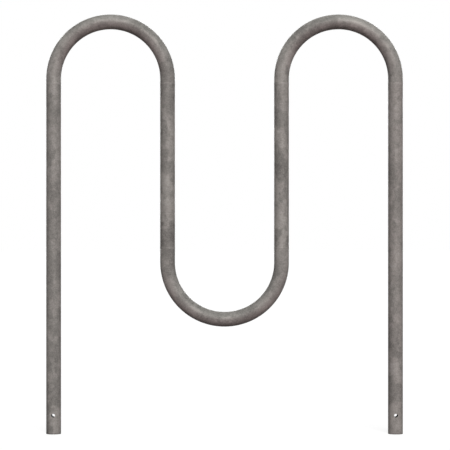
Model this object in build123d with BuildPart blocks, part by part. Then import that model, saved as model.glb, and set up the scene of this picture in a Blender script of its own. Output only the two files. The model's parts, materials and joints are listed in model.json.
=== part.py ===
from build123d import *
import os
from math import radians, tan

# Wave bicycle rack for setting in the ground: one run of galvanised steel pipe that rises from the
# left leg, goes over an arch, down and round a lower bend, over a second arch and down to the right leg.
# Bends and straight lengths are butt-welded over backing rings. The rack stands in the XZ plane with
# +Z up and its front towards -Y. The origin is midway between the two legs, level with their lower ends.
# All sizes are in millimetres.

# Pipe
PIPE_OD = 41.3
PIPE_WALL = 3.05

# Layout of the run
UPRIGHT_SPACING = 317.5  # centre to centre of neighbouring uprights
OVERALL_HEIGHT = 1168.4  # lower ends of the legs to the crowns of the arches
LOWER_BEND_GAP = 298.5  # lower ends of the legs to the underside of the lower bend

# Lower ends of the legs, which are set in concrete round a cross rod
ANCHOR_HOLE_DIAMETER = 10.7
ANCHOR_HOLE_HEIGHT = 52.0
FOOT_CHAMFER = 0.8

# Butt joints: bevelled pipe ends, a backing ring inside and a dressed weld bead
ROOT_GAP = 1.6
ROOT_FACE = 1.0
BEVEL_ANGLE = 30.0  # from the square cut
CAP_OVERLAP = 1.5  # of the bead on each pipe, past its bevel
CAP_HEIGHT = 0.3
RING_WALL = 2.0
RING_REACH = 8.0  # of the backing ring into each pipe
RING_CLEARANCE = 0.15  # all round, between ring and bore
RING_LEAD_IN = 0.5
ARCH_LEAD = 4.0  # straight pipe between an arch and the end of its ring
LOWER_BEND_LEAD = 32.0  # straight pipe between the lower bend and the end of its ring

# Pipe and joint sizes that follow
PIPE_RADIUS = PIPE_OD / 2
BORE_RADIUS = PIPE_RADIUS - PIPE_WALL
RING_RADIUS = BORE_RADIUS - RING_CLEARANCE
BEVEL_WIDTH = PIPE_WALL - ROOT_FACE
BEVEL_RUN = BEVEL_WIDTH * tan(radians(BEVEL_ANGLE))

# Heights along the run
BEND_RADIUS = UPRIGHT_SPACING / 2
ARCH_CROWN_Z = OVERALL_HEIGHT - PIPE_RADIUS
ARCH_TANGENT_Z = ARCH_CROWN_Z - BEND_RADIUS
LOWER_CROWN_Z = LOWER_BEND_GAP + PIPE_RADIUS
LOWER_TANGENT_Z = LOWER_CROWN_Z + BEND_RADIUS
UPPER_JOINT_Z = ARCH_TANGENT_Z - ARCH_LEAD - RING_REACH - ROOT_GAP / 2
LOWER_JOINT_Z = LOWER_TANGENT_Z + LOWER_BEND_LEAD + RING_REACH + ROOT_GAP / 2

# Places across the rack
LEG_X = {"left_leg": -1.5 * UPRIGHT_SPACING, "right_leg": 1.5 * UPRIGHT_SPACING}
UPRIGHT_X = {"left_upright": -BEND_RADIUS, "right_upright": BEND_RADIUS}
ARCH_X = {"left_arch": -UPRIGHT_SPACING, "right_arch": UPRIGHT_SPACING}

# Centre of each butt joint
JOINTS = {}
for name, x in LEG_X.items():
    JOINTS[name] = (x, UPPER_JOINT_Z)
for name, x in UPRIGHT_X.items():
    JOINTS[f"{name}_top"] = (x, UPPER_JOINT_Z)
    JOINTS[f"{name}_bottom"] = (x, LOWER_JOINT_Z)


def pipe_section():
    """The pipe's ring-shaped cross-section, drawn in the open sketch."""
    Circle(PIPE_RADIUS)
    Circle(BORE_RADIUS, mode=Mode.SUBTRACT)


def end_faces(pipe, axis):
    """The square-cut ends of a pipe, in order along an axis."""
    return pipe.faces().filter_by(GeomType.PLANE).sort_by(axis)


def bevel(end):
    """Weld preparation of a pipe end: its outer edge is taken back as far as the root face."""
    chamfer(end.outer_wire().edges(), length=BEVEL_WIDTH, length2=BEVEL_RUN, reference=end)


def leg(x):
    """Outer leg: straight pipe from its cross-drilled lower end to the joint under its arch."""
    with BuildPart() as pipe:
        with BuildSketch(Plane((x, 0, 0))):
            pipe_section()
        extrude(amount=UPPER_JOINT_Z - ROOT_GAP / 2)
        bevel(end_faces(pipe, Axis.Z)[-1])
        chamfer(end_faces(pipe, Axis.Z)[0].edges(), length=FOOT_CHAMFER)
        with Locations(Plane((x, 0, ANCHOR_HOLE_HEIGHT), z_dir=(0, -1, 0))):
            Hole(ANCHOR_HOLE_DIAMETER / 2)
    return pipe.part


def upright(x):
    """Inner upright: straight pipe between the lower bend's joint and the arch's joint."""
    lower_end_z = LOWER_JOINT_Z + ROOT_GAP / 2
    upper_end_z = UPPER_JOINT_Z - ROOT_GAP / 2
    with BuildPart() as pipe:
        with BuildSketch(Plane((x, 0, lower_end_z))):
            pipe_section()
        extrude(amount=upper_end_z - lower_end_z)
        bevel(end_faces(pipe, Axis.Z)[0])
        bevel(end_faces(pipe, Axis.Z)[-1])
    return pipe.part


def return_bend(x, end_z, tangent_z, crown_z):
    """Half-circle bend with a straight end on each side. The crown is above the ends or below them."""
    left_x = x - BEND_RADIUS
    right_x = x + BEND_RADIUS
    with BuildPart() as pipe:
        with BuildLine(Plane.XZ) as centreline:
            Line((left_x, end_z), (left_x, tangent_z))
            ThreePointArc((left_x, tangent_z), (x, crown_z), (right_x, tangent_z))
            Line((right_x, tangent_z), (right_x, end_z))
        with BuildSketch(Plane(centreline.line @ 0, z_dir=centreline.line % 0)):
            pipe_section()
        sweep(path=centreline.line)
        bevel(end_faces(pipe, Axis.X)[0])
        bevel(end_faces(pipe, Axis.X)[-1])
    return pipe.part


def weld_bead(x, z):
    """Weld metal of one joint: it fills the groove down to the backing ring, under a low rounded cap."""
    root = ROOT_GAP / 2
    groove = root + BEVEL_RUN
    cap = groove + CAP_OVERLAP
    with BuildPart() as bead:
        with BuildSketch(Plane((x, 0, z), x_dir=(1, 0, 0), z_dir=(0, -1, 0))):
            with BuildLine():
                Polyline(
                    (PIPE_RADIUS, cap),
                    (PIPE_RADIUS, groove),
                    (BORE_RADIUS + ROOT_FACE, root),
                    (RING_RADIUS, root),
                    (RING_RADIUS, -root),
                    (BORE_RADIUS + ROOT_FACE, -root),
                    (PIPE_RADIUS, -groove),
                    (PIPE_RADIUS, -cap),
                )
                ThreePointArc((PIPE_RADIUS, -cap), (PIPE_RADIUS + CAP_HEIGHT, 0), (PIPE_RADIUS, cap))
            make_face()
        revolve(axis=Axis((x, 0, z), (0, 0, 1)))
    return bead.part


def backing_ring(x, z):
    """Short sleeve inside one joint, which lines the two pipe ends up and carries the weld's root."""
    with BuildPart() as ring:
        with BuildSketch(Plane((x, 0, z))):
            Circle(RING_RADIUS)
            Circle(RING_RADIUS - RING_WALL, mode=Mode.SUBTRACT)
        extrude(amount=ROOT_GAP / 2 + RING_REACH, both=True)
        for end in end_faces(ring, Axis.Z):
            chamfer(end.outer_wire().edges(), length=RING_LEAD_IN)
    return ring.part


def save(part, name):
    """Labels a finished piece and writes it."""
    part.label = name
    export_step(part, f"parts/{name}.step")


os.makedirs("parts", exist_ok=True)
for name, x in LEG_X.items():
    save(leg(x), name)
for name, x in UPRIGHT_X.items():
    save(upright(x), name)
for name, x in ARCH_X.items():
    save(return_bend(x, UPPER_JOINT_Z + ROOT_GAP / 2, ARCH_TANGENT_Z, ARCH_CROWN_Z), name)
save(return_bend(0, LOWER_JOINT_Z - ROOT_GAP / 2, LOWER_TANGENT_Z, LOWER_CROWN_Z), "lower_bend")
for place, (x, z) in JOINTS.items():
    save(weld_bead(x, z), f"weld_{place}")
    save(backing_ring(x, z), f"backing_ring_{place}")
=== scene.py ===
import json
from math import atan2, cos, hypot, pi, radians, sin, sqrt, tan

import bmesh
import bpy
from mathutils import Matrix, Vector


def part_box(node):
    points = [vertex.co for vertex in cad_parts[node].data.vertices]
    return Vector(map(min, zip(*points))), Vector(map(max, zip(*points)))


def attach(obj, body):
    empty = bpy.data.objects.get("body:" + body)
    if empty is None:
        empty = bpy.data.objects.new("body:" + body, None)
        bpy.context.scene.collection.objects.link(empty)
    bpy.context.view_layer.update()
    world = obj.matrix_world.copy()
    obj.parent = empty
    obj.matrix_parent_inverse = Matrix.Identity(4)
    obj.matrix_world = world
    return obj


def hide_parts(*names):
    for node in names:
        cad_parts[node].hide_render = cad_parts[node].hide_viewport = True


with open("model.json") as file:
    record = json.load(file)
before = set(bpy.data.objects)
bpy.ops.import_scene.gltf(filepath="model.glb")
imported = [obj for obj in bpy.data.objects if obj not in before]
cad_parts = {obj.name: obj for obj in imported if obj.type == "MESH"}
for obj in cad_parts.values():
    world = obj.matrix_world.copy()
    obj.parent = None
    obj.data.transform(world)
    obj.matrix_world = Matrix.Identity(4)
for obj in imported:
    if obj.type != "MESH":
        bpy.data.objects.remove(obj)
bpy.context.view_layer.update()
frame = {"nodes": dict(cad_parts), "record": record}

# Outer legs: straight lengths of steel pipe, sawn square at the foot and drilled right through for an
# anchor rod, with the top bevelled for welding. The rack is hot-dip galvanised after welding and has
# weathered to a dull, softly mottled zinc grey.
mounts = {mount["name"]: mount for mount in frame["record"]["mounts"]}
PIPE_RADIUS = mounts["left_leg_in_ground"]["dims"]["r_mm"] / 1000
PIPE_WALL = 0.00305
BORE_RADIUS = PIPE_RADIUS - PIPE_WALL
ROOT_FACE = 0.001
BEVEL_ANGLE = radians(30)  # from the square cut
BEVEL_RUN = (PIPE_WALL - ROOT_FACE) * tan(BEVEL_ANGLE)
SIDES_ROUND_PIPE = 96
ROUNDING_STEPS = 3
FOOT_ROUNDING = 0.0008
HOLE_RADIUS = mounts["left_leg_anchor_hole"]["dims"]["r_mm"] / 1000
HOLE_HEIGHT = mounts["left_leg_anchor_hole"]["pos_m"][2]
HOLE_ROUNDING = 0.0004
WINDOW_HALF_HEIGHT = 0.0085  # of the patch of wall that is opened round the hole
WINDOW_HALF_ANGLE = radians(22.5)
SIDES_ROUND_HOLE = 32
SAME_PLACE = 1e-6  # points nearer than this are one
SHARP_ANGLE = radians(40)
LEG_X = mounts["right_leg_in_ground"]["pos_m"][0]
LEG_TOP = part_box("left_leg")[1].z
LEFT_LEG_PATTERN = 64.14  # metres along the zinc's pattern at which this leg begins
RIGHT_LEG_PATTERN = 96.54
PAINTED_LIGHT_ON_WALLS = 0.17  # painted light: 1 on top of a level pipe, painted paler; -1 under it, painted shade
RIGHT_LEG_TONE = 0.05  # that leg's own tone, given on the painted-light scale: a little browner than the rest


class Shade:
    """A socket of a material's nodes. Arithmetic on shades adds Math nodes."""

    def __init__(self, tree, socket=None):
        self.tree = tree
        self.socket = socket

    def node(self, kind, settings, inputs, output=0):
        """Adds a node: first its settings, then the values or links of its sockets."""
        made = self.tree.nodes.new("ShaderNode" + kind)
        for name, value in settings.items():
            setattr(made, name, value)
        for name, value in inputs.items():
            if isinstance(value, Shade):
                self.tree.links.new(value.socket, made.inputs[name])
            else:
                made.inputs[name].default_value = value
        return Shade(self.tree, made.outputs[output])

    def math(self, operation, first, second):
        return self.node("Math", {"operation": operation}, {0: first, 1: second})

    def __add__(self, other):
        return self.math("ADD", self, other)

    def __sub__(self, other):
        return self.math("SUBTRACT", self, other)

    def __rsub__(self, other):
        return self.math("SUBTRACT", other, self)

    def __mul__(self, other):
        return self.math("MULTIPLY", self, other)

    __radd__ = __add__
    __rmul__ = __mul__


def stretched(place, *scales):
    """A place on the pipe with its three directions scaled."""
    return place.node("VectorMath", {"operation": "MULTIPLY"}, {0: place, 1: scales})


def cloud(place, size, detail=2.0, roughness=0.55):
    """Soft noise with lumps of about the given size, in metres."""
    inputs = {"Vector": place, "Scale": 1 / size, "Detail": detail, "Roughness": roughness}
    return place.node("TexNoise", {}, inputs)


def ease(value, low, high):
    """Rises smoothly from 0 at low to 1 at high."""
    settings = {"interpolation_type": "SMOOTHSTEP"}
    return value.node("MapRange", settings, {"Value": value, "From Min": low, "From Max": high})


def mixed(first, second, factor):
    """A colour between two colours."""
    return factor.node("Mix", {"data_type": "RGBA"}, {0: factor, 6: first, 7: second}, 2)


def swing(value):
    """A value from 0 to 1, moved to lie about 0."""
    return value - 0.5


def galvanised(name, paleness):
    """Weathered zinc: pale bloom in long ragged blotches on a darker grey, livelier and paler along some
    lengths than along others, with fine spangle, grain and thin pale strokes from handling. Its tops are
    painted paler and greener as painted light and its undersides darker and browner as painted shade,
    with painted shade along the foot's lower edge and in the bore, and it has a broad dull sheen."""
    ZINC_PAINTED_LIT = (0.262, 0.251, 0.234, 1)
    ZINC_PAINTED_SHADE = (0.247, 0.207, 0.198, 1)
    SHEEN_AT_EDGES = (0.3, 0.3, 0.3, 1)
    LIVELY_LENGTH = 2.0
    PALE_LENGTH = 1.3
    CLOUD_SIZE = 0.06
    TINT_SIZE = 0.05
    BLOTCH_SIZE = 0.03
    SPECKLE_SIZE = 0.009
    STROKE_SIZE = 0.008
    GRAIN_SIZE = 0.0035
    CRYSTALS_PER_METRE = 75.0
    CRYSTAL_SHIFT = [0.012] * 3
    SHIFT_SIZE = 0.025
    SKIN_DEPTH = 0.0002
    CREST_LOW = PIPE_RADIUS + 0.00008  # a weld's cap is paler where it stands above the pipe
    CREST_HIGH = PIPE_RADIUS + 0.00025
    FOOT_SHADE_LOW = 0.0005  # painted shade along the foot's lower edge fades from here up to the next height
    FOOT_SHADE_HIGH = 0.0045
    material = bpy.data.materials.new(name)
    material.use_nodes = True
    shader = material.node_tree.nodes["Principled BSDF"]
    start = Shade(material.node_tree)
    place = start.node("Attribute", {"attribute_name": "along_pipe"}, {}, "Vector")
    # painted light and shade: from 1 where the pipe faces up to -1 where it faces down; the right leg's
    # value also carries its own browner tone
    painted_light_and_tone = start.node("Attribute", {"attribute_name": "painted_light_and_tone"}, {}, "Fac")
    clouds = cloud(stretched(place, 1, 1, 0.6), CLOUD_SIZE)
    blotches = cloud(stretched(place, 1, 1, 0.65), BLOTCH_SIZE, 4.0, 0.6)
    bloom = ease(blotches + 0.7 * swing(clouds), 0.46, 0.57)
    speckle = cloud(place, SPECKLE_SIZE)
    grain = cloud(place, GRAIN_SIZE)
    tint = cloud(stretched(place, 1, 1, 0.5), TINT_SIZE)
    strokes = ease(cloud(stretched(place, 0.3, 0.3, 2.2), STROKE_SIZE), 0.60, 0.74)
    shift = start.node("TexNoise", {}, {"Vector": place, "Scale": 1 / SHIFT_SIZE}, "Color")
    shifting = {0: shift, 1: CRYSTAL_SHIFT, 2: place}
    shifted = start.node("VectorMath", {"operation": "MULTIPLY_ADD"}, shifting)
    crystals = {"Vector": shifted, "Scale": CRYSTALS_PER_METRE, "Smoothness": 0.35}
    cells = start.node("TexVoronoi", {"feature": "SMOOTH_F1"}, crystals, "Color")
    spangle = start.node("SeparateColor", {}, {0: cells})
    from_axis = start.node("VectorMath", {"operation": "LENGTH"}, {0: stretched(place, 1, 1, 0)}, "Value")
    # painted shade: outside is 0 in the bore and on the hole's wall, where the zinc is darkened to a
    # tenth, and 1 on the outer skin
    outside = ease(from_axis, BORE_RADIUS, PIPE_RADIUS - SKIN_DEPTH)
    crest = ease(from_axis, CREST_LOW, CREST_HIGH)
    height = start.node("SeparateXYZ", {}, {0: start.node("TexCoord", {}, {}, "Object")}, "Z")
    # painted shade: the zinc is darkened along the foot's lower edge
    above_foot_shade = ease(height, FOOT_SHADE_LOW, FOOT_SHADE_HIGH)
    # painted light and shade: tops get the paler, greener zinc as painted light and undersides the darker,
    # browner zinc as painted shade, varied by random tint
    painted_light_and_tint = ease(painted_light_and_tone + 0.2 * swing(tint) - 0.08 * swing(bloom), -0.6, 0.6)
    colour = mixed(ZINC_PAINTED_SHADE, ZINC_PAINTED_LIT, painted_light_and_tint)
    liveliness = 0.55 + 0.75 * ease(cloud(place, LIVELY_LENGTH, 0.0), 0.35, 0.65)
    mottling = 0.26 * swing(bloom) + 0.7 * swing(clouds) + 0.24 * swing(blotches)
    level = paleness + 0.2 * swing(cloud(place, PALE_LENGTH, 0.0)) + liveliness * mottling
    level = level + (0.32 + 0.14 * bloom) * swing(speckle)
    level = level + 0.85 * swing(grain) + 0.2 * swing(spangle)
    level = level + 0.16 * strokes * bloom + 0.14 * crest
    # painted shade darkens the bore, the hole's wall and the foot's lower edge
    level = level * (0.1 + 0.9 * outside) * (0.68 + 0.32 * above_foot_shade)
    shaded = start.node("VectorMath", {"operation": "SCALE"}, {0: colour, "Scale": level})
    relief = 0.4 * blotches + 0.3 * speckle + 0.2 * grain + 0.1 * spangle
    bump = start.node("Bump", {}, {"Height": relief, "Strength": 0.2, "Distance": 0.0006}, "Normal")
    links = material.node_tree.links
    links.new(shaded.socket, shader.inputs["Base Color"])
    links.new((0.5 - 0.03 * bloom - 0.03 * spangle).socket, shader.inputs["Roughness"])
    links.new(((0.09 + 0.02 * bloom) * outside).socket, shader.inputs["Metallic"])
    links.new(bump.socket, shader.inputs["Normal"])
    shader.inputs["Specular IOR Level"].default_value = 0.02
    shader.inputs["Specular Tint"].default_value = SHEEN_AT_EDGES
    return material


def turned(outline, x, steps):
    """A closed outline of radii and heights, turned about the upright axis at x."""
    bm = bmesh.new()
    corners = [bm.verts.new((x + radius, 0, height)) for radius, height in outline]
    edges = [bm.edges.new(pair) for pair in zip(corners, corners[1:] + corners[:1])]
    turn = {"cent": (x, 0, 0), "axis": (0, 0, 1), "angle": 2 * pi, "steps": steps, "use_merge": True}
    bmesh.ops.spin(bm, geom=corners + edges, **turn)
    bmesh.ops.remove_doubles(bm, verts=bm.verts, dist=SAME_PLACE)
    bmesh.ops.recalc_face_normals(bm, faces=bm.faces)
    return bm


def circle_edges(bm, sides, radius, matrix):
    """The edges of a new circle."""
    made = bmesh.ops.create_circle(bm, segments=sides, radius=radius, matrix=matrix)
    return list({edge for vert in made["verts"] for edge in vert.link_edges})


def corners_of(edges):
    return list({vert for edge in edges for vert in edge.verts})


def round_off(bm, edges, offset):
    shape = {"affect": "EDGES", "segments": ROUNDING_STEPS, "profile": 0.5, "material": -1}
    bmesh.ops.bevel(bm, geom=edges, offset=offset, **shape)


def drill(bm, x):
    """Opens both walls round the anchor hole and joins them to the drill's circle."""
    lie_across = Matrix.Translation((x, 0, HOLE_HEIGHT)) @ Matrix.Rotation(pi / 2, 4, "X")
    outer_rims = []
    for side in (-1, 1):
        rims = []
        for wall in (PIPE_RADIUS, BORE_RADIUS):
            window = []
            for face in bm.faces:
                middle = face.calc_center_median() - Vector((x, 0, HOLE_HEIGHT))
                on_wall = abs(hypot(middle.x, middle.y) - wall) < PIPE_WALL / 4
                in_angle = abs(atan2(middle.x, side * middle.y)) < WINDOW_HALF_ANGLE
                if on_wall and in_angle and abs(middle.z) < WINDOW_HALF_HEIGHT:
                    window.append(face)
            bmesh.ops.delete(bm, geom=window, context="FACES")
            frame_edges = [edge for edge in bm.edges if edge.is_boundary and edge not in rims]
            rim = circle_edges(bm, SIDES_ROUND_HOLE, HOLE_RADIUS, lie_across)
            for vert in corners_of(rim):
                vert.co.y = side * sqrt(wall**2 - (vert.co.x - x) ** 2)
            bmesh.ops.bridge_loops(bm, edges=frame_edges + rim)
            rims += rim
            if wall == PIPE_RADIUS:
                outer_rims += rim
        bmesh.ops.bridge_loops(bm, edges=rims)
    bmesh.ops.recalc_face_normals(bm, faces=bm.faces)
    round_off(bm, outer_rims, HOLE_ROUNDING)


def on_straight(x, pattern_start, painted_light_and_tone=PAINTED_LIGHT_ON_WALLS):
    """For a point of an upright pipe: its place on the zinc's pattern (across, to the back and along the
    pipe), and its value of painted light and shade, which for the right leg also sets that leg's own tone."""
    return lambda point: ((point.x - x, point.y, pattern_start + point.z), painted_light_and_tone)


def add_piece(bm, name, place, material):
    """Makes a finished object of a mesh that takes the place of the CAD node of the same name."""
    mesh = bpy.data.meshes.new(name)
    spots = [place(vert.co) for vert in bm.verts]
    bm.to_mesh(mesh)
    bm.free()
    along_pipe = mesh.attributes.new("along_pipe", "FLOAT_VECTOR", "POINT")
    along_pipe.data.foreach_set("vector", [value for spot, painted_light_and_tone in spots for value in spot])
    # each point's value of painted light and shade, on which the zinc's colour is mixed
    painted_light_and_tone_values = mesh.attributes.new("painted_light_and_tone", "FLOAT", "POINT")
    painted_light_and_tone_values.data.foreach_set("value", [painted_light_and_tone for spot, painted_light_and_tone in spots])
    mesh.shade_smooth()
    mesh.set_sharp_from_angle(angle=SHARP_ANGLE)
    mesh.materials.append(material)
    piece = bpy.data.objects.new(f"{name}_finished", mesh)
    bpy.context.scene.collection.objects.link(piece)
    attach(piece, "root")
    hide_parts(name)


zinc = galvanised("weathered_zinc", 1.0)
on_leg = {
    "left_leg": on_straight(-LEG_X, LEFT_LEG_PATTERN),
    "right_leg": on_straight(LEG_X, RIGHT_LEG_PATTERN, RIGHT_LEG_TONE),
}
window_heights = [HOLE_HEIGHT + WINDOW_HALF_HEIGHT * step / 2 for step in (-2, -1, 0, 1, 2)]
leg_outline = [(PIPE_RADIUS, 0)]
leg_outline += [(PIPE_RADIUS, height) for height in window_heights]
leg_outline += [(PIPE_RADIUS, LEG_TOP - BEVEL_RUN), (BORE_RADIUS + ROOT_FACE, LEG_TOP)]
leg_outline += [(BORE_RADIUS, LEG_TOP)]
leg_outline += [(BORE_RADIUS, height) for height in reversed(window_heights)]
leg_outline += [(BORE_RADIUS, 0)]
for name, x in (("left_leg", -LEG_X), ("right_leg", LEG_X)):
    bm = turned(leg_outline, x, SIDES_ROUND_PIPE)
    drill(bm, x)
    foot_rims = []
    for edge in bm.edges:
        first, second = [hypot(vert.co.x - x, vert.co.y) for vert in edge.verts]
        at_foot = all(vert.co.z < SAME_PLACE for vert in edge.verts)
        if at_foot and abs(first - second) < PIPE_WALL / 2:
            foot_rims.append(edge)
    round_off(bm, foot_rims, FOOT_ROUNDING)
    add_piece(bm, name, on_leg[name], zinc)

# Inner uprights: straight lengths of the same pipe between the lower bend and the arches, bevelled at both
# ends for welding.
UPRIGHT_X = LEG_X / 3
UPRIGHT_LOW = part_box("left_upright")[0].z
UPRIGHT_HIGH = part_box("left_upright")[1].z
LEFT_UPRIGHT_PATTERN = 55.29
RIGHT_UPRIGHT_PATTERN = 126.28
on_upright = {
    "left_upright": on_straight(-UPRIGHT_X, LEFT_UPRIGHT_PATTERN),
    "right_upright": on_straight(UPRIGHT_X, RIGHT_UPRIGHT_PATTERN),
}
upright_outline = [
    (BORE_RADIUS, UPRIGHT_LOW),
    (BORE_RADIUS + ROOT_FACE, UPRIGHT_LOW),
    (PIPE_RADIUS, UPRIGHT_LOW + BEVEL_RUN),
    (PIPE_RADIUS, UPRIGHT_HIGH - BEVEL_RUN),
    (BORE_RADIUS + ROOT_FACE, UPRIGHT_HIGH),
    (BORE_RADIUS, UPRIGHT_HIGH),
]
for name, x in (("left_upright", -UPRIGHT_X), ("right_upright", UPRIGHT_X)):
    bm = turned(upright_outline, x, SIDES_ROUND_PIPE)
    add_piece(bm, name, on_upright[name], zinc)

# Arches and lower bend: pipe bent through a half circle, with a short straight length left at each end and
# the ends bevelled for welding.
STEPS_ROUND_BEND = 72
BEND_RADIUS = LEG_X / 3
BEND_LENGTH = pi * BEND_RADIUS
ARCH_X = 2 * BEND_RADIUS
ARCH_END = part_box("left_arch")[0].z
ARCH_TANGENT_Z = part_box("left_arch")[1].z - PIPE_RADIUS - BEND_RADIUS
LOWER_BEND_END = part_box("lower_bend")[1].z
LOWER_TANGENT_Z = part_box("lower_bend")[0].z + PIPE_RADIUS + BEND_RADIUS
LEFT_ARCH_PATTERN = 122.21
RIGHT_ARCH_PATTERN = 19.97
LOWER_BEND_PATTERN = 116.3


def return_bend(x, end, tangent, way):
    """Pipe that rises (way 1) or falls (way -1) from its ends and turns a half circle."""
    bm = bmesh.new()
    rings = {}
    for side in (-1, 1):
        for ring, radius, height in (
            ("bore", BORE_RADIUS, end),
            ("root", BORE_RADIUS + ROOT_FACE, end),
            ("outer", PIPE_RADIUS, end + way * BEVEL_RUN),
        ):
            middle = Matrix.Translation((x + side * BEND_RADIUS, 0, height))
            rings[ring, side] = circle_edges(bm, SIDES_ROUND_PIPE, radius, middle)
        bmesh.ops.bridge_loops(bm, edges=rings["bore", side] + rings["root", side])
        bmesh.ops.bridge_loops(bm, edges=rings["root", side] + rings["outer", side])
    turn = {"cent": (x, 0, tangent), "axis": (0, way, 0), "angle": pi, "steps": STEPS_ROUND_BEND}
    for ring in ("bore", "outer"):
        grown = bmesh.ops.extrude_edge_only(bm, edges=rings[ring, -1])["geom"]
        at_tangent = [item for item in grown if not isinstance(item, bmesh.types.BMFace)]
        for item in at_tangent:
            if isinstance(item, bmesh.types.BMVert):
                item.co.z = tangent
        spun = bmesh.ops.spin(bm, geom=at_tangent, **turn)["geom_last"]
        last = [item for item in spun if isinstance(item, bmesh.types.BMEdge)]
        bmesh.ops.bridge_loops(bm, edges=last + rings[ring, 1])
    bmesh.ops.remove_doubles(bm, verts=bm.verts, dist=SAME_PLACE)
    bmesh.ops.recalc_face_normals(bm, faces=bm.faces)
    return bm


def on_bend(x, tangent, way, pattern_start):
    """For a point of a bend: its place on the zinc's pattern, as on a straight pipe, and its painted light
    and shade, from 1 on top of the crown, painted paler, to -1 under it, painted darker."""

    def place(point):
        height = way * (point.z - tangent)
        sideways = point.x - x
        if height < 0:
            inward = BEND_RADIUS - abs(sideways)
            along = height if sideways < 0 else BEND_LENGTH - height
            painted_light_and_tone = PAINTED_LIGHT_ON_WALLS
        else:
            from_middle = hypot(sideways, height)
            inward = BEND_RADIUS - from_middle
            along = BEND_RADIUS * atan2(height, -sideways)
            slope = height / from_middle
            painted_light_and_tone = PAINTED_LIGHT_ON_WALLS * (1 - slope) - way * inward / hypot(inward, point.y) * slope
        return (inward, point.y, pattern_start + along), painted_light_and_tone

    return place


for name, x, end, tangent, way, pattern_start in (
    ("left_arch", -ARCH_X, ARCH_END, ARCH_TANGENT_Z, 1, LEFT_ARCH_PATTERN),
    ("right_arch", ARCH_X, ARCH_END, ARCH_TANGENT_Z, 1, RIGHT_ARCH_PATTERN),
    ("lower_bend", 0, LOWER_BEND_END, LOWER_TANGENT_Z, -1, LOWER_BEND_PATTERN),
):
    bm = return_bend(x, end, tangent, way)
    add_piece(bm, name, on_bend(x, tangent, way, pattern_start), zinc)

# Backing rings: short steel sleeves inside the six joints, slid into both pipe ends before welding. They
# can't be seen on the finished rack.
RING_COLOUR = (0.20, 0.19, 0.18, 1)
MILL_SCALE_COLOUR = (0.11, 0.10, 0.09, 1)
MILL_SCALE_SIZE = 0.004
ring_steel = bpy.data.materials.new("ring_steel")
ring_steel.use_nodes = True
ring_shader = ring_steel.node_tree.nodes["Principled BSDF"]
ring_place = Shade(ring_steel.node_tree).node("TexCoord", {}, {}, "Object")
mill_scale = cloud(ring_place, MILL_SCALE_SIZE, 3.0)
ring_tone = mixed(RING_COLOUR, MILL_SCALE_COLOUR, ease(mill_scale, 0.4, 0.7))
ring_links = ring_steel.node_tree.links
ring_links.new(ring_tone.socket, ring_shader.inputs["Base Color"])
ring_links.new((0.45 + 0.3 * mill_scale).socket, ring_shader.inputs["Roughness"])
ring_shader.inputs["Metallic"].default_value = 0.7
for name, node in frame["nodes"].items():
    if name.startswith("backing_ring"):
        node.data.materials.clear()
        node.data.materials.append(ring_steel)

# Welds: each joint's groove is filled with weld metal and dressed to a low cap, then galvanised with the
# rest. The cap keeps faint ripples and slightly uneven edges.
JOINTS = {
    "left_leg": on_leg["left_leg"],
    "right_leg": on_leg["right_leg"],
    "left_upright_top": on_upright["left_upright"],
    "left_upright_bottom": on_upright["left_upright"],
    "right_upright_top": on_upright["right_upright"],
    "right_upright_bottom": on_upright["right_upright"],
}
CAP_POINTS = 9
CAP_SINK = 0.00004
RIPPLES = 56
STEPS_PER_RIPPLE = 5
RIPPLE_DEPTH = 0.00007
RIPPLE_LAG = 2.5  # how far a ripple trails at the cap's edges, as an angle
EDGE_WANDER = 0.0004
LONG_WAVES = 5  # of the cap's edges, once round
SHORT_WAVES = 11
pale_zinc = galvanised("dressed_weld_zinc", 1.1)
cap_past_gap = LEG_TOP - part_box("weld_left_leg")[0].z
for joint, place in JOINTS.items():
    name = f"weld_{joint}"
    low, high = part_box(name)
    x = (low.x + high.x) / 2
    z = (low.z + high.z) / 2
    half_cap = (high.z - low.z) / 2
    cap_height = (high.x - low.x) / 2 - PIPE_RADIUS
    half_gap = half_cap - cap_past_gap
    long_start = 3 * x  # the waves begin elsewhere on each joint
    short_start = 40 * z
    bead_outline = [(BORE_RADIUS, z - half_gap), (BORE_RADIUS, z + half_gap)]
    for step in range(CAP_POINTS + 1):
        across = 1 - 2 * step / CAP_POINTS
        bulge = cap_height * (1 - across**2) - CAP_SINK
        bead_outline.append((PIPE_RADIUS + bulge, z + half_cap * across))
    bm = turned(bead_outline, x, RIPPLES * STEPS_PER_RIPPLE)
    for vert in bm.verts:
        outward = Vector((vert.co.x - x, vert.co.y, 0))
        if outward.length > PIPE_RADIUS - 2 * CAP_SINK:
            across = (vert.co.z - z) / half_cap
            turn = atan2(outward.y, outward.x)
            ripple = RIPPLE_DEPTH * (cos(RIPPLES * turn + RIPPLE_LAG * across**2) - 1) * (1 - across**2)
            waves = sin(LONG_WAVES * turn + long_start) + sin(SHORT_WAVES * turn + short_start)
            wander = EDGE_WANDER * across * waves / 2
            vert.co += outward.normalized() * ripple + Vector((0, 0, wander))
    add_piece(bm, name, place, pale_zinc)

# Studio: a broad soft light from above the front, a little to the right, two weaker ones from behind on
# either side, pale light from all round, and a white floor that runs into a white background.
LIGHT_SPREAD = radians(30)
FRONT_STRENGTH = 2.88
FRONT_HEIGHT = radians(30)
FRONT_TURN = radians(10)
BACK_STRENGTH = 1.6
BACK_HEIGHT = radians(14)
BACK_TURN = radians(16)
SKY_COLOUR = (0.98, 1.0, 1.0, 1)
SKY_STRENGTH = 0.1
FLOOR_HALF_SIZE = 40.0
FLOOR_BOUNCE = (0.13, 0.12, 0.115, 1)
FLOOR_SEEN = (0.3, 0.3, 0.3, 1)
FLOOR_GLOW = 0.8
WHITE = (1, 1, 1, 1)


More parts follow.
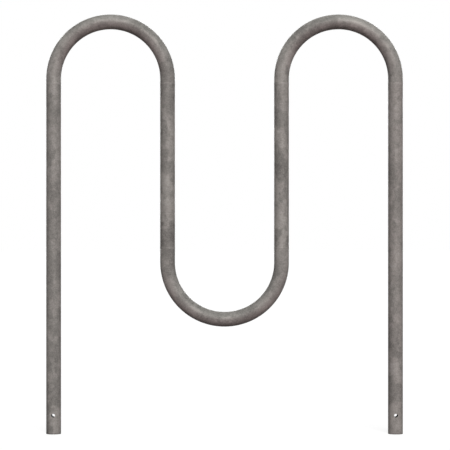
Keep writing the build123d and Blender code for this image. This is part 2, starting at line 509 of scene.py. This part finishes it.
def seen_directly(start):
    """1 for what the camera sees, directly or by reflection, and 0 for light on its way to a surface."""
    path = start.node("LightPath", {}, {}, "Is Camera Ray")
    glossy = Shade(start.tree, path.socket.node.outputs["Is Glossy Ray"])
    through = Shade(start.tree, path.socket.node.outputs["Is Transmission Ray"])
    return path + glossy + through


scene = bpy.context.scene
world = bpy.data.worlds.new("studio")
scene.world = world
world.use_nodes = True
world.node_tree.nodes.clear()
around = Shade(world.node_tree)
sky = around.node("Background", {}, {"Color": SKY_COLOUR, "Strength": SKY_STRENGTH})
backdrop = around.node("Background", {}, {"Color": WHITE, "Strength": 1.0})
shown = around.node("MixShader", {}, {0: seen_directly(around), 1: sky, 2: backdrop})
world_out = world.node_tree.nodes.new("ShaderNodeOutputWorld")
world.node_tree.links.new(shown.socket, world_out.inputs["Surface"])

for name, strength, height, turn in (
    ("front_light", FRONT_STRENGTH, FRONT_HEIGHT, FRONT_TURN),
    ("back_right_light", BACK_STRENGTH, BACK_HEIGHT, pi - BACK_TURN),
    ("back_left_light", BACK_STRENGTH, BACK_HEIGHT, pi + BACK_TURN),
):
    light_data = bpy.data.lights.new(name, "SUN")
    light_data.energy = strength
    light_data.angle = LIGHT_SPREAD
    light = bpy.data.objects.new(name, light_data)
    scene.collection.objects.link(light)
    towards_light = Vector((sin(turn) * cos(height), -cos(turn) * cos(height), sin(height)))
    light.rotation_euler = towards_light.to_track_quat("Z", "Y").to_euler()

floor_bm = bmesh.new()
bmesh.ops.create_grid(floor_bm, x_segments=1, y_segments=1, size=FLOOR_HALF_SIZE)
floor_mesh = bpy.data.meshes.new("floor")
floor_bm.to_mesh(floor_mesh)
floor_bm.free()
floor = bpy.data.objects.new("floor", floor_mesh)
scene.collection.objects.link(floor)
floor_white = bpy.data.materials.new("floor_white")
floor_white.use_nodes = True
floor_white.node_tree.nodes.clear()
ground = Shade(floor_white.node_tree)
bounce = ground.node("BsdfDiffuse", {}, {"Color": FLOOR_BOUNCE})
lit = ground.node("BsdfDiffuse", {}, {"Color": FLOOR_SEEN})
glow = ground.node("Emission", {}, {"Color": WHITE, "Strength": FLOOR_GLOW})
white_floor = ground.node("AddShader", {}, {0: lit, 1: glow})
floor_shown = ground.node("MixShader", {}, {0: seen_directly(ground), 1: bounce, 2: white_floor})
floor_out = floor_white.node_tree.nodes.new("ShaderNodeOutputMaterial")
floor_white.node_tree.links.new(floor_shown.socket, floor_out.inputs["Surface"])
floor_mesh.materials.append(floor_white)

# Camera: straight on to the rack from the front at about half its height, far enough off for a long lens.
CAMERA_DISTANCE = 5.9
CAMERA_HEIGHT = 0.5818
CAMERA_X = 0.00125
VIEW_WIDTH = 1.254  # across the picture, at the rack
camera_data = bpy.data.cameras.new("camera")
camera_data.lens = camera_data.sensor_width * CAMERA_DISTANCE / VIEW_WIDTH
camera = bpy.data.objects.new("camera", camera_data)
camera.location = (CAMERA_X, -CAMERA_DISTANCE, CAMERA_HEIGHT)
camera.rotation_euler = (pi / 2, 0, 0)
scene.collection.objects.link(camera)
scene.camera = camera
scene.view_settings.view_transform = "Standard"
